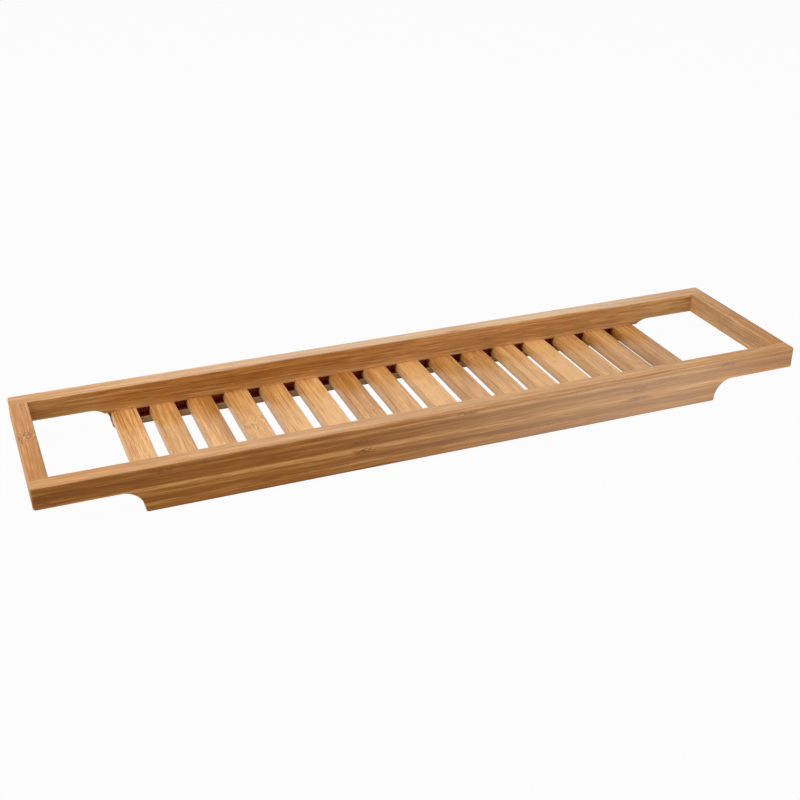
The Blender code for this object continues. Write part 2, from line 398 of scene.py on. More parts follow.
class Wiring:
    """Adds nodes to one tree and joins them, in rows from left to right."""

    def __init__(self, tree):
        self.tree = tree
        self.count = 0

    def add(self, kind, inputs=None, **settings):
        node = self.tree.nodes.new(kind)
        row, column = divmod(self.count, NODES_IN_ROW)
        node.location = (NODE_WIDTH * column, -NODE_HEIGHT * row)
        self.count += 1
        for name, value in settings.items():
            setattr(node, name, value)
        for place, value in (inputs or {}).items():
            self.feed(node.inputs[place], value)
        return node

    def feed(self, socket, value):
        if isinstance(value, bpy.types.NodeSocket):
            self.tree.links.new(value, socket)
        else:
            socket.default_value = value

    def math(self, operation, *values, clamp=False):
        inputs = dict(enumerate(values))
        return self.add("ShaderNodeMath", inputs, operation=operation, use_clamp=clamp).outputs[0]

    def plus(self, total, *others):
        for other in others:
            total = self.math("ADD", total, other)
        return total

    def minus(self, first, second):
        return self.math("SUBTRACT", first, second)

    def times(self, product, *others):
        for other in others:
            product = self.math("MULTIPLY", product, other)
        return product

    def size(self, value):
        return self.math("ABSOLUTE", value)

    def between(self, first, second, share):
        """First where share is 0 and second where it is 1."""
        return self.plus(first, self.times(self.minus(second, first), share))

    def spread(self, value, amount):
        """Value less its middle of one half, times amount."""
        return self.times(self.minus(value, 0.5), amount)

    def fade(self, value, start, end, low=0.0, high=1.0):
        """Goes smoothly from low to high as value goes from start to end."""
        inputs = {0: value, 1: start, 2: end, 3: low, 4: high}
        return self.add("ShaderNodeMapRange", inputs, interpolation_type="SMOOTHSTEP").outputs[0]

    def rise(self, value, border, line=0.0):
        """Goes from 0 to 1 across a soft border along a line."""
        return self.fade(value, line + border[0], line + border[1])

    def fall(self, value, border, line=0.0):
        """Goes from 1 to 0 across a soft border along a line."""
        return self.fade(value, line + border[0], line + border[1], 1.0, 0.0)

    def vector(self, operation, *values):
        inputs = dict(enumerate(values))
        return self.add("ShaderNodeVectorMath", inputs, operation=operation).outputs[0]

    def combine(self, x, y, z):
        return self.add("ShaderNodeCombineXYZ", {0: x, 1: y, 2: z}).outputs[0]

    def noise(self, place, name):
        scales, detail, roughness = NOISES[name]
        stretched = self.vector("MULTIPLY", place, scales)
        inputs = {"Vector": stretched, "Scale": 1.0, "Detail": detail, "Roughness": roughness}
        return self.add("ShaderNodeTexNoise", inputs).outputs[0]

    def spots(self, place, name, least=0.0):
        """Noise cut into spots: 1 inside them, and least between them."""
        return self.fade(self.noise(place, name), *SPOTS[name], least)

    def mix_colour(self, factor, first, second):
        # The mix node's sockets for colours are the inputs 6 and 7, and the output 2
        inputs = {"Factor": factor, 6: first, 7: second}
        return self.add("ShaderNodeMix", inputs, data_type="RGBA").outputs[2]

    def ramp(self, value, stops, mode="LINEAR"):
        """A colour ramp with stops of (place, colour)."""
        node = self.add("ShaderNodeValToRGB", {0: value})
        band = node.color_ramp
        band.interpolation = mode
        for _ in range(len(stops) - 2):
            band.elements.new(0.5)
        for element, (place, colour) in zip(band.elements, stops):
            element.position = place
            element.color = colour
        return node.outputs[0]

    def attribute(self, name):
        return self.add("ShaderNodeAttribute", attribute_name=name).outputs["Fac"]

    def bump(self, shader, height, depth):
        inputs = {"Height": height, "Strength": BUMP_STRENGTH, "Distance": depth}
        self.feed(shader.inputs["Normal"], self.add("ShaderNodeBump", inputs).outputs["Normal"])


def rgba(colour):
    return (*colour, 1.0)


def grey(level):
    return (level, level, level, 1.0)


def bamboo_group(colours):
    """Node group that draws bamboo.

    Place runs along, across and through the fibres. Knuckle is the signed distance along the
    fibres to the nearest knuckle. Band is how much of it shows as a dotted band across the
    fibres, and Smear as a dark smear along them. Matt is the roughness of the lacquer.
    """
    tree = bpy.data.node_groups.new("bamboo", "ShaderNodeTree")
    tree.interface.new_socket("Place", in_out="INPUT", socket_type="NodeSocketVector")
    for name in ("Tone", "Knuckle", "Band", "Smear", "Matt"):
        tree.interface.new_socket(name, in_out="INPUT", socket_type="NodeSocketFloat")
    for name, kind in (("Colour", "Color"), ("Roughness", "Float"), ("Height", "Float")):
        tree.interface.new_socket(name, in_out="OUTPUT", socket_type=f"NodeSocket{kind}")
    wiring = Wiring(tree)
    given = wiring.add("NodeGroupInput").outputs
    place = given["Place"]

    # The knuckle: a wavy line in a dotted band, a dark smear, and fibres that sway around them
    wave = wiring.spread(wiring.noise(place, "wave"), KNUCKLE_WAVE)
    distance = wiring.size(wiring.plus(given["Knuckle"], wave))
    line = wiring.times(wiring.fall(distance, KNUCKLE_LINE), given["Band"])
    band = wiring.times(wiring.fall(distance, KNUCKLE_BAND), given["Band"])
    smear = wiring.times(wiring.fall(distance, KNUCKLE_SMEAR), given["Smear"])
    smear = wiring.times(smear, wiring.spots(place, "blotches", SMEAR_BETWEEN_BLOTCHES))
    sway = wiring.spread(wiring.noise(place, "sway"), KNUCKLE_SWAY)
    shift = wiring.times(sway, wiring.math("MAXIMUM", band, smear))
    swayed = wiring.vector("ADD", place, wiring.combine(0.0, shift, shift))

    grain = {name: wiring.noise(swayed, name) for name in GRAIN_TONES}
    bundles = wiring.spots(swayed, "bundles")
    dots = wiring.times(wiring.spots(swayed, "dots"), band)
    tone = given["Tone"]
    for name, amount in GRAIN_TONES.items():
        tone = wiring.plus(tone, wiring.spread(grain[name], amount))
    tone = wiring.plus(tone, wiring.times(band, KNUCKLE_PALENESS))
    share = wiring.math("DIVIDE", wiring.plus(tone, -DARKEST_TONE), PALEST_TONE - DARKEST_TONE)
    body = wiring.ramp(share, [(spot, rgba(getattr(colours, name))) for spot, name in TONE_COLOURS])
    body = wiring.mix_colour(wiring.times(bundles, BUNDLE_DARKNESS), body, rgba(colours.fibre))
    body = wiring.mix_colour(wiring.times(dots, DOT_DARKNESS), body, rgba(colours.fibre))
    lined, smeared = wiring.times(line, LINE_DARKNESS), wiring.times(smear, SMEAR_DARKNESS)
    body = wiring.mix_colour(wiring.math("MAXIMUM", lined, smeared), body, rgba(colours.knuckle))

    roughness = wiring.plus(given["Matt"], wiring.spread(grain["streaks"], STREAK_ROUGHNESS))
    rougher = wiring.times(bundles, BUNDLE_ROUGHNESS)
    roughness = wiring.math("ADD", roughness, rougher, clamp=True)

    fibres, streaks = (wiring.spread(grain[name], GRAIN_HEIGHT) for name in ("fibres", "streaks"))
    height = wiring.minus(wiring.plus(fibres, streaks), wiring.times(bundles, BUNDLE_DEPTH))
    height = wiring.minus(height, wiring.times(line, LINE_DEPTH))

    made = wiring.add("NodeGroupOutput")
    wiring.feed(made.inputs["Colour"], body)
    wiring.feed(made.inputs["Roughness"], roughness)
    wiring.feed(made.inputs["Height"], height)
    return tree


def lacquered_bamboo(material, wiring, bamboo, gloss, **inputs):
    """Puts the bamboo group and a lacquered shader after what a material has worked out."""
    group = wiring.add("ShaderNodeGroup", node_tree=bamboo)
    for name, value in inputs.items():
        wiring.feed(group.inputs[name.capitalize()], value)
    shader = material.node_tree.nodes["Principled BSDF"]
    wiring.bump(shader, group.outputs["Height"], BAMBOO_BUMP)
    wiring.feed(shader.inputs["Base Color"], group.outputs["Colour"])
    wiring.feed(shader.inputs["Roughness"], group.outputs["Roughness"])
    wiring.feed(shader.inputs["Specular IOR Level"], gloss)
    return group.outputs["Colour"], shader


def new_material(name):
    material = bpy.data.materials.new(name)
    material.use_nodes = True
    return material, Wiring(material.node_tree)


def place_parts(wiring):
    """The x, y and z of a point on the piece, in the frame of the CAD model."""
    place = wiring.add("ShaderNodeTexCoord").outputs["Object"]
    return wiring.add("ShaderNodeSeparateXYZ", {0: place}).outputs


class Laminations:
    """Bamboo strips stacked up the height of a rail, with the fibres along X (0) or Y (1).

    layers are stops of (share of the rail's height, tone), and top_contrast is how much they
    count on the top of the rail.
    """

    def __init__(self, wiring, sizes, parts, along, layers, top_contrast):
        self.wiring = wiring
        self.sizes = sizes
        self.parts = parts
        height = parts[2]
        self.fibre = wiring.times(parts[along], wiring.attribute("grain_way"))
        self.shift = wiring.attribute("grain_shift")
        # Strips start half a strip below the foot, where the board was planed
        raised = wiring.plus(height, sizes.strip_height / 2)
        strips = wiring.math("DIVIDE", raised, sizes.strip_height)
        self.strip = wiring.math("FLOOR", strips)
        self.share = wiring.math("FRACT", strips)
        self.place = wiring.vector(
            "ADD",
            wiring.combine(self.fibre, parts[1 - along], height),
            wiring.combine(
                wiring.plus(wiring.times(self.strip, STRIP_SHIFT_ALONG), self.shift),
                wiring.times(self.strip, STRIP_SHIFT_ACROSS),
                wiring.times(self.shift, BOARD_SHIFT_THROUGH),
            ),
        )
        self.on_top = wiring.rise(height, TOP_EDGE, sizes.rail_height)
        self.tone = self.layer_tone(layers, top_contrast)

    def layer_tone(self, layers, top_contrast):
        """The tone of the board and of its layers, which drift a little, with their dark seams."""
        wiring = self.wiring
        drift = wiring.spread(wiring.noise(self.place, "drift"), LAYER_DRIFT)
        level = wiring.math("DIVIDE", wiring.plus(self.parts[2], drift), self.sizes.rail_height)
        layered = wiring.ramp(level, [(spot, grey(value)) for spot, value in layers], "EASE")
        contrast = wiring.between(wiring.attribute("layer_contrast"), top_contrast, self.on_top)
        tone = wiring.plus(wiring.spread(layered, contrast), wiring.attribute("board_tone"))
        seam = wiring.rise(self.from_wall_middle(), SEAM)
        return wiring.minus(tone, wiring.times(seam, SEAM_DARKNESS))

    def from_wall_middle(self):
        """Distance from the middle of a strip's wall, as a share of the strip's height."""
        return self.wiring.size(self.wiring.minus(self.share, 0.5))

    def face_or_top(self, face, top):
        """The attribute face on the rail's upright faces, and the attribute top on its top."""
        wiring = self.wiring
        return wiring.between(wiring.attribute(face), wiring.attribute(top), self.on_top)

    def knuckles(self):
        """Distance to the nearest knuckle of a strip, and how much of its smear shows there.

        Each strip has knuckles of its own, and they are darkest in the middle of its wall.
        """
        wiring, spacing = self.wiring, self.sizes.knuckle_spacing
        place = self.shift
        for number, knuckle in enumerate(STRIP_KNUCKLES):
            chosen = wiring.math("COMPARE", self.strip, float(number), 0.5)
            place = wiring.plus(place, wiring.times(chosen, knuckle))
        count = wiring.math("DIVIDE", wiring.minus(self.fibre, place), spacing)
        rest = wiring.minus(wiring.math("FRACT", wiring.plus(count, 0.5)), 0.5)
        smear = wiring.fall(self.from_wall_middle(), KNUCKLE_IN_WALL)
        return wiring.times(rest, spacing), smear


def groove_shade_mask(wiring, sizes, parts):
    """1 inside the groove of a side rail, where dark shade is painted on."""
    along, aside, height = wiring.size(parts[0]), wiring.size(parts[1]), parts[2]
    return wiring.times(
        wiring.rise(aside, GROOVE_MOUTH, inner_face(sizes)),
        wiring.fall(aside, GROOVE_FLOOR, inner_face(sizes) + sizes.groove_depth),
        wiring.fall(along, GROOVE_END, half_drop(sizes)),
        wiring.fall(height, GROOVE_ROOF, groove_top(sizes)),
        wiring.rise(height, GROOVE_LEDGE, sizes.groove_lip),
    )


def grooved_face(wiring, sizes, parts):
    """1 on the inner face of a side rail, between its steps."""
    near = wiring.fall(wiring.size(parts[1]), INNER_FACE, inner_face(sizes))
    return wiring.times(near, wiring.fall(wiring.size(parts[0]), INNER_FACE_END, half_drop(sizes)))


def painted_lip_light(wiring, sizes, parts):
    """1 on the inner face of a side rail below the groove, where light is painted on the lip."""
    lip = wiring.fall(parts[2], LIP_TOP, sizes.groove_lip)
    return wiring.times(lip, grooved_face(wiring, sizes, parts))


def painted_brow_highlight(wiring, sizes, parts):
    """1 in a narrow line over the groove, where a highlight is painted on."""
    foot = wiring.rise(parts[2], BROW_FOOT, groove_top(sizes))
    top = wiring.fall(parts[2], BROW_TOP, groove_top(sizes))
    return wiring.times(foot, top, grooved_face(wiring, sizes, parts))


def top_shade_and_scar(wiring, sizes, parts):
    """Painted shade along the front edge of a side rail's top and its rounding, and a scar with a
    darker patch around it.
    """
    over = wiring.rise(parts[2], SHADE_AND_SCAR_TOP, sizes.rail_height)
    inward = wiring.minus(parts[1], wiring.attribute("front_edge"))
    # Painted shade along the front edge, which dims the highlight on its rounding
    edge = wiring.times(
        wiring.attribute("edge_shade"),
        wiring.fall(inward, EDGE_SHADE_WIDTH),
        wiring.rise(parts[0], EDGE_SHADE_FROM),
        wiring.fall(parts[0], EDGE_SHADE_TO),
    )
    from_scar = wiring.size(wiring.minus(parts[0], wiring.attribute("scar_place")))
    around = wiring.fade(from_scar, *ROUND_SCAR, ROUND_SCAR_STRENGTH, 0.0)
    scar = wiring.times(wiring.fall(from_scar, SCAR), wiring.fall(inward, SCAR_INWARD))
    shade_and_scar = wiring.math("MAXIMUM", edge, wiring.math("MAXIMUM", around, scar))
    return wiring.times(over, shade_and_scar)


def come_and_go(wiring, along, comes, goes):
    """How much painted sheen there is along a rail, in a stretch with soft ends."""
    start, end, least = comes
    coming = wiring.fade(along, start, end, least, 1.0)
    start, end, least = goes
    return wiring.times(coming, wiring.fade(along, start, end, 1.0, least))


def side_rail_bamboo(bamboo, sizes, colours):
    """Bamboo of the side rails: the walls of its strips, a scar, and painted sheen, light and
    shade.
    """
    material, wiring = new_material("side_bamboo_grained")
    parts = place_parts(wiring)
    strips = Laminations(wiring, sizes, parts, 0, SIDE_LAYERS, SIDE_TOP_CONTRAST)
    shade_and_scar = top_shade_and_scar(wiring, sizes, parts)
    # Painted light and shade towards the rails' ends: the tone of the faces and the top is moved up
    # or down there
    ends = wiring.rise(wiring.size(parts[0]), RAIL_ENDS)
    tone = wiring.plus(
        strips.tone,
        wiring.times(strips.face_or_top("face_end_shading", "top_end_shading"), ends),
        # Painted highlight in a narrow line over the groove
        wiring.times(painted_brow_highlight(wiring, sizes, parts), BROW_HIGHLIGHT),
    )
    # Painted shade along the top's front edge, and the scar
    tone = wiring.minus(tone, wiring.times(shade_and_scar, SHADE_AND_SCAR_DARKNESS))
    knuckle, smear = strips.knuckles()
    smear = wiring.times(smear, wiring.attribute("knuckle_strength"))
    marks = {"knuckle": knuckle, "band": 0.0, "smear": smear}
    colour, shader = lacquered_bamboo(
        material, wiring, bamboo, RAIL_GLOSS, place=strips.place, tone=tone, matt=RAIL_MATT, **marks
    )
    # Painted sheen on the faces and the top, less of it where the painted edge shade and the scar
    # are
    on_face = come_and_go(wiring, parts[0], FACE_SHEEN_COMES, FACE_SHEEN_GOES)
    over_top = come_and_go(wiring, parts[0], TOP_SHEEN_COMES, TOP_SHEEN_GOES)
    painted_sheen = wiring.times(
        strips.face_or_top("face_sheen", "top_sheen"),
        wiring.between(on_face, over_top, strips.on_top),
        wiring.minus(1.0, wiring.times(shade_and_scar, SHEEN_LOST_TO_SHADE_AND_SCAR)),
    )
    colour = wiring.mix_colour(painted_sheen, colour, rgba(colours.painted_sheen))
    # Painted light: the lip below the groove is made paler
    lip = wiring.times(painted_lip_light(wiring, sizes, parts), LIP_LIGHT)
    colour = wiring.mix_colour(lip, colour, rgba(colours.painted_pale_light))
    # Painted shade inside the groove, darkest low down over the ledge
    low = wiring.fall(parts[2], DEEPEST_SHADE_LEDGE, sizes.groove_lip)
    groove_shade_colour = wiring.mix_colour(low, rgba(colours.groove_shade), rgba(colours.char))
    colour = wiring.mix_colour(groove_shade_mask(wiring, sizes, parts), colour, groove_shade_colour)
    wiring.feed(shader.inputs["Base Color"], colour)


def end_rail_bamboo(bamboo, sizes, colours):
    """Bamboo of the end rails, which show one knuckle on their top."""
    material, wiring = new_material("end_bamboo_grained")
    parts = place_parts(wiring)
    strips = Laminations(wiring, sizes, parts, 1, END_LAYERS, END_TOP_CONTRAST)
    place, tone, strength = strips.place, strips.tone, wiring.attribute("knuckle_strength")
    knuckle = wiring.minus(parts[1], wiring.attribute("knuckle_place"))
    marks = {"knuckle": knuckle, "band": strength, "smear": strength}
    colour, shader = lacquered_bamboo(
        material, wiring, bamboo, RAIL_GLOSS, place=place, tone=tone, matt=RAIL_MATT, **marks
    )
    # Painted sheen on the end rails' faces and top
    painted_sheen = strips.face_or_top("face_sheen", "top_sheen")
    wiring.feed(shader.inputs["Base Color"], wiring.mix_colour(painted_sheen, colour, rgba(colours.painted_sheen)))


def slat_bamboo(bamboo, colours):
    """Bamboo of the slats, with the fibres along Y and a knuckle where a slat has one.

    The lacquer is thick and glossy on the top, and thin and duller on the sides. Painted shade
    darkens the top along its left edge, over the highlight that its rounding catches. On the
    sides, a pale painted light is mixed in, most towards their foot, where their tone is painted
    darker, and painted shade darkens them at the rear right of the tray, near the rear rail.
    """
    material, wiring = new_material("slat_bamboo_grained")
    parts = place_parts(wiring)
    x, y, z = parts[0], parts[1], parts[2]
    top = FIRST_SLAT_HIGH.z
    place = wiring.combine(wiring.plus(y, wiring.attribute("grain_shift")), x, z)
    knuckle = wiring.minus(y, wiring.attribute("knuckle_place"))
    thin = wiring.fall(z, TOP_EDGE, top)
    # Painted shade on the sides at the rear right of the tray, in the shade of the rear rail
    rear_shade = wiring.times(wiring.rise(y, SHADE_TOWARDS_REAR), wiring.rise(x, SHADE_TOWARDS_RIGHT))
    climb = wiring.fade(z, FIRST_SLAT_LOW.z, top)
    margin_shade = wiring.fall(wiring.attribute("from_left"), SLAT_MARGIN)

    tone = wiring.attribute("board_tone")
    tone = wiring.minus(tone, wiring.times(thin, rear_shade, REAR_SHADE_DARKNESS))
    # Painted light and shade on the sides: the tone is darker at the foot and paler at the top
    tone = wiring.plus(tone, wiring.times(thin, wiring.between(*SIDE_SHADING, climb)))
    # Painted shade on the top along its left edge, over the highlight its rounding catches
    tone = wiring.minus(tone, wiring.times(margin_shade, wiring.minus(1.0, thin), MARGIN_SHADE))
    edge = [top + past for past in TOP_EDGE]
    gloss, matt = (wiring.fade(z, *edge, *amounts) for amounts in (SLAT_GLOSS, SLAT_MATT))
    marks = {"knuckle": knuckle, "band": wiring.attribute("knuckle_strength"), "smear": 0.0}
    colour, shader = lacquered_bamboo(
        material, wiring, bamboo, gloss, place=place, tone=tone, matt=matt, **marks
    )
    # Painted pale light on the sides, most at the foot and least at the rear right
    side_light = wiring.between(*SIDE_PALE_LIGHT, climb)
    painted_pale_light = wiring.times(thin, wiring.between(side_light, 0.0, rear_shade))
    wiring.feed(shader.inputs["Base Color"], wiring.mix_colour(painted_pale_light, colour, rgba(colours.painted_pale_light)))


def dowel_beech(colours):
    """Bare beech with short flecks along the dowel, which lies along Y."""
    material, wiring = new_material("dowel_beech_flecked")
    parts = place_parts(wiring)
    place = wiring.combine(parts[1], parts[0], parts[2])
    grain = wiring.noise(place, "beech_grain")
    fleck = wiring.times(wiring.spots(place, "beech_flecks"), FLECK_DARKNESS)
    fleck_colour = rgba(colours.beech_fleck)
    contrast = wiring.spread(grain, BEECH_CONTRAST)
    body = wiring.mix_colour(contrast, rgba(colours.beech), fleck_colour)
    roughness = wiring.plus(BEECH_ROUGHNESS, wiring.spread(grain, BEECH_ROUGHNESS_CHANGE))
    shader = material.node_tree.nodes["Principled BSDF"]
    wiring.bump(shader, grain, BEECH_BUMP)
    wiring.feed(shader.inputs["Base Color"], wiring.mix_colour(fleck, body, fleck_colour))
    wiring.feed(shader.inputs["Roughness"], roughness)
    return material


def bamboo_of(slot):
    """The bamboo that shows on the pieces of a material slot."""
    material = bpy.data.materials.get(f"{slot}_grained")
    if material is None:
        raise RuntimeError(f"there is no finish for {slot}: mix the finishes first")
    return material


def finished_piece(form, name, node, slot, facts):
    """A piece that stands for a CAD node, made from a bmesh, which is freed.

    Its sharp edges are marked, and its facts are on every point for its finish to go by. A fact
    is one number, or a function that works it out from the point's place.
    """
    for face in form.faces:
        face.smooth = True
    for edge in form.edges:
        if edge.calc_face_angle() > SHARP_ANGLE:
            edge.smooth = False
    mesh = bpy.data.meshes.new(name)
    form.to_mesh(mesh)
    form.free()
    mesh.materials.append(bamboo_of(slot))
    for fact, value in facts.items():
        attribute = mesh.attributes.new(fact, "FLOAT", "POINT")
        values = [value(vertex.co) if callable(value) else value for vertex in mesh.vertices]
        attribute.data.foreach_set("value", values)
    piece = bpy.data.objects.new(name, mesh)
    bpy.context.scene.collection.objects.link(piece)
    weights = piece.modifiers.new("even_shading", "WEIGHTED_NORMAL")
    weights.keep_sharp = True
    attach(piece, BODY)
    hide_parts(node)


def leaning(amount, change, axis, reach, middle=0.0):
    """An amount at the middle of a piece that changes evenly along an axis by change over reach."""
    return lambda point: amount + change * (point[axis] - middle) / reach


def rail_facts(facts, axis, reach):
    """The facts of a rail, with its pairs as amounts that lean along it."""
    return {
        name: leaning(*fact, axis, reach) if isinstance(fact, tuple) else fact
        for name, fact in facts.items()
    }


def box_form(low, high):
    low, high = Vector(low), Vector(high)
    form = bmesh.new()
    to_size = Matrix.Diagonal((*(high - low), 1.0))
    bmesh.ops.create_cube(form, size=1.0, matrix=Matrix.Translation((low + high) / 2) @ to_size)
    return form


def prism_form(outline, axis, low, high):
    """A closed outline of (first, z) points made solid along an axis, 0 for X and 1 for Y."""
    form = bmesh.new()
    rings = []
    for end in (low, high):
        points = [(end, first, z) if axis == 0 else (first, end, z) for first, z in outline]
        rings.append([form.verts.new(point) for point in points])
    for ring in rings:
        form.faces.new(ring)
    for step in range(len(outline)):
        form.faces.new((rings[0][step - 1], rings[0][step], rings[1][step], rings[1][step - 1]))
    bmesh.ops.recalc_face_normals(form, faces=form.faces)
    return form


def arc(centre, radius, start, end, steps):
    turn = (end - start) / steps
    angles = [start + turn * step for step in range(steps + 1)]
    return [(centre[0] + radius * math.cos(a), centre[1] + radius * math.sin(a)) for a in angles]


def round_edges(form, edges, radius, segments):
    shape = {"offset_type": "OFFSET", "profile": 0.5, "affect": "EDGES", "clamp_overlap": True}
    bmesh.ops.bevel(form, geom=edges, offset=radius, segments=segments, **shape)


def is_sharp(edge):
    return edge.is_convex and edge.calc_face_angle() > SHARP_ANGLE


def lies_at(edge, axis, place):
    return all(abs(vertex.co[axis] - place) < WELD_DISTANCE for vertex in edge.verts)


def side_rail_outline(sizes):
    """A side rail seen from the front, as (x, z) points that go round it once."""
    half_length = sizes.frame_length / 2
    drop = half_drop(sizes)
    step_height = sizes.rail_height - sizes.end_height
    hollow_radius = step_height - sizes.foot_radius
    quarter = math.pi / 2
    hollow_centre = (drop + hollow_radius, sizes.foot_radius)
    foot_centre = (drop - sizes.foot_radius, sizes.foot_radius)
    hollow = arc(hollow_centre, hollow_radius, quarter, math.pi, HOLLOW_STEPS)
    foot = arc(foot_centre, sizes.foot_radius, 0, -quarter, FOOT_STEPS)
    right = [(half_length, sizes.rail_height), (half_length, step_height), *hollow, *foot[1:]]
    left = [(-x, z) for x, z in reversed(right)]
    return right + left


def rounded_side_rail(sizes, side):
    """A side rail with its edges rounded, but for those that an end rail is glued against.

    side is -1 for the front rail and 1 for the rear one.
    """
    outer = side * sizes.frame_width / 2
    inner = side * inner_face(sizes)
    form = prism_form(side_rail_outline(sizes), 1, min(outer, inner), max(outer, inner))
    opening = half_opening(sizes)
    for joint in (-opening, opening):
        everything = [*form.verts, *form.edges, *form.faces]
        bmesh.ops.bisect_plane(form, geom=everything, plane_co=(joint, 0, 0), plane_no=(1, 0, 0))

    ends = (-sizes.frame_length / 2, sizes.frame_length / 2)
    corners = [
        edge
        for edge in form.edges
        if lies_at(edge, 1, outer) and any(lies_at(edge, 0, end) for end in ends)
    ]
    round_edges(form, corners, sizes.corner_radius, CORNER_SEGMENTS)
    exposed = []
    for edge in form.edges:
        middle = (edge.verts[0].co + edge.verts[1].co) / 2
        glued = lies_at(edge, 1, inner) and abs(middle.x) > opening
        if is_sharp(edge) and not glued:
            exposed.append(edge)
    round_edges(form, exposed, sizes.edge_radius, EDGE_SEGMENTS)
    return form


def crease_rounding_ends(form, sizes):
    """Marks every edge as sharp where a rounding runs out at a glued joint.

    Two flat faces at a right angle meet there around the end of the rounding, and each keeps
    its own flat shading.
    """
    rounding_end = half_opening(sizes) + sizes.edge_radius
    for vertex in form.verts:
        past_inner = abs(vertex.co.y) - inner_face(sizes)
        past_end = abs(vertex.co.x) - rounding_end
        if abs(past_inner) < WELD_DISTANCE and abs(past_end) < WELD_DISTANCE:
            for edge in vertex.link_edges:
                edge.smooth = False


def groove_outline(sizes, side):
    """The groove for the slats' ends, as (y, z) points, with its two long edges eased."""
    face = side * inner_face(sizes)
    top = groove_top(sizes)
    ease = sizes.groove_edge_radius
    floor = face + side * sizes.groove_depth
    mouth = face - side * OVERRUN
    centre = face + side * ease
    turns = [math.pi / 2 * (step + 0.5) / GROOVE_EDGE_STEPS for step in range(GROOVE_EDGE_STEPS)]
    lifts = [(centre - side * ease * math.sin(turn), ease * (1 - math.cos(turn))) for turn in turns]
    upper = [(floor, top), (centre, top)]
    upper += [(y, top + lift) for y, lift in lifts]
    upper.append((mouth, top + 2 * ease + OVERRUN / 2))
    lower = [(y, sizes.groove_lip - (z - top)) for y, z in upper]
    return upper + lower[::-1]


def rounded_slat(sizes, low, high):
    """A slat with a low shoulder near each end, which butts against the rail over the groove."""
    butt = inner_face(sizes) - sizes.groove_slack
    ledge = high.z - sizes.slat_shoulder
    right = [(high.y, low.z), (high.y, ledge), (butt, ledge), (butt, high.z)]
    left = [(-y, z) for y, z in reversed(right)]
    form = prism_form(right + left, 0, low.x, high.x)
    exposed = []
    for edge in form.edges:
        butted = lies_at(edge, 1, butt) or lies_at(edge, 1, -butt)
        if is_sharp(edge) and not butted:
            exposed.append(edge)
    round_edges(form, exposed, sizes.slat_edge_radius, SLAT_EDGE_SEGMENTS)
    return form


def slat_facts(number, low, high):
    """What the finish of a slat goes by. Slats are numbered from 1, from left to right."""
    middle, half_width = (low.x + high.x) / 2, (high.x - low.x) / 2
    side_lean = SLAT_SIDE_LEANS.get(number, 0.0)
    across = leaning(SLAT_TONES[number - 1], side_lean, 0, half_width, middle)
    # Painted shade of the rear rail: the tone falls towards the slat's rear end
    along = leaning(0.0, SLAT_REAR_SHADES[number - 1], 1, high.y)
    place, strength = SLAT_KNUCKLES.get(number, (0.0, 0.0))
    return {
        "board_tone": lambda point: across(point) + along(point),
        "grain_shift": SLAT_SHIFT * number,
        "from_left": lambda point: point.x - low.x,
        "knuckle_place": place,
        "knuckle_strength": strength,
    }


def place_of_face(face):
    return tuple(round(value, SORT_DECIMALS) for value in face.calc_center_median())


def cut(form, cutter, name):
    """A form with another one taken out of it, with its faces in the same order each time."""
    piece = bpy.data.objects.new(f"{name}_blank", bpy.data.meshes.new(name))
    tool = bpy.data.objects.new(f"{name}_cutter", bpy.data.meshes.new(name))
    for thing, source in ((piece, form), (tool, cutter)):
        source.to_mesh(thing.data)
        source.free()
        bpy.context.scene.collection.objects.link(thing)
    modifier = piece.modifiers.new("groove", "BOOLEAN")
    modifier.operation = "DIFFERENCE"
    modifier.solver = "EXACT"
    modifier.object = tool
    bpy.context.view_layer.update()
    result = bmesh.new()
    result.from_object(piece, bpy.context.evaluated_depsgraph_get())
    for thing in (piece, tool):
        bpy.data.objects.remove(thing, do_unlink=True)
    bmesh.ops.remove_doubles(result, verts=result.verts, dist=WELD_DISTANCE)
    for index, face in enumerate(sorted(result.faces, key=place_of_face)):
        face.index = index
    result.faces.sort()
    return result


class CADDY_OT_finishes(bpy.types.Operator):
    """Mixes the bamboo of the side rails, the end rails and the slats"""

    bl_idname = "caddy.finishes"
    bl_label = "Finishes"

    def execute(self, context):
        sizes, colours = context.scene.caddy_sizes, context.scene.caddy_colours
        bamboo = bamboo_group(colours)
        side_rail_bamboo(bamboo, sizes, colours)
        end_rail_bamboo(bamboo, sizes, colours)
        slat_bamboo(bamboo, colours)
        return {"FINISHED"}


class CADDY_OT_side_rails(bpy.types.Operator):
    """Draws the two side rails, with the groove for the slats along their inner faces"""

    bl_idname = "caddy.side_rails"
    bl_label = "Side rails"

    def execute(self, context):
        sizes = context.scene.caddy_sizes
        reach = half_drop(sizes) + sizes.rail_height - sizes.end_height + OVERRUN
        for node, facts in SIDE_RAILS.items():
            front_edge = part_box(node)[0].y
            side = math.copysign(1.0, front_edge)
            groove = prism_form(groove_outline(sizes, side), 0, -reach, reach)
            form = cut(rounded_side_rail(sizes, side), groove, node)
            crease_rounding_ends(form, sizes)
            facts = rail_facts(facts, 0, sizes.frame_length / 2)
            facts.update(grain_way=-side, front_edge=front_edge)
            finished_piece(form, f"{node}_board", node, "side_bamboo", facts)
        return {"FINISHED"}


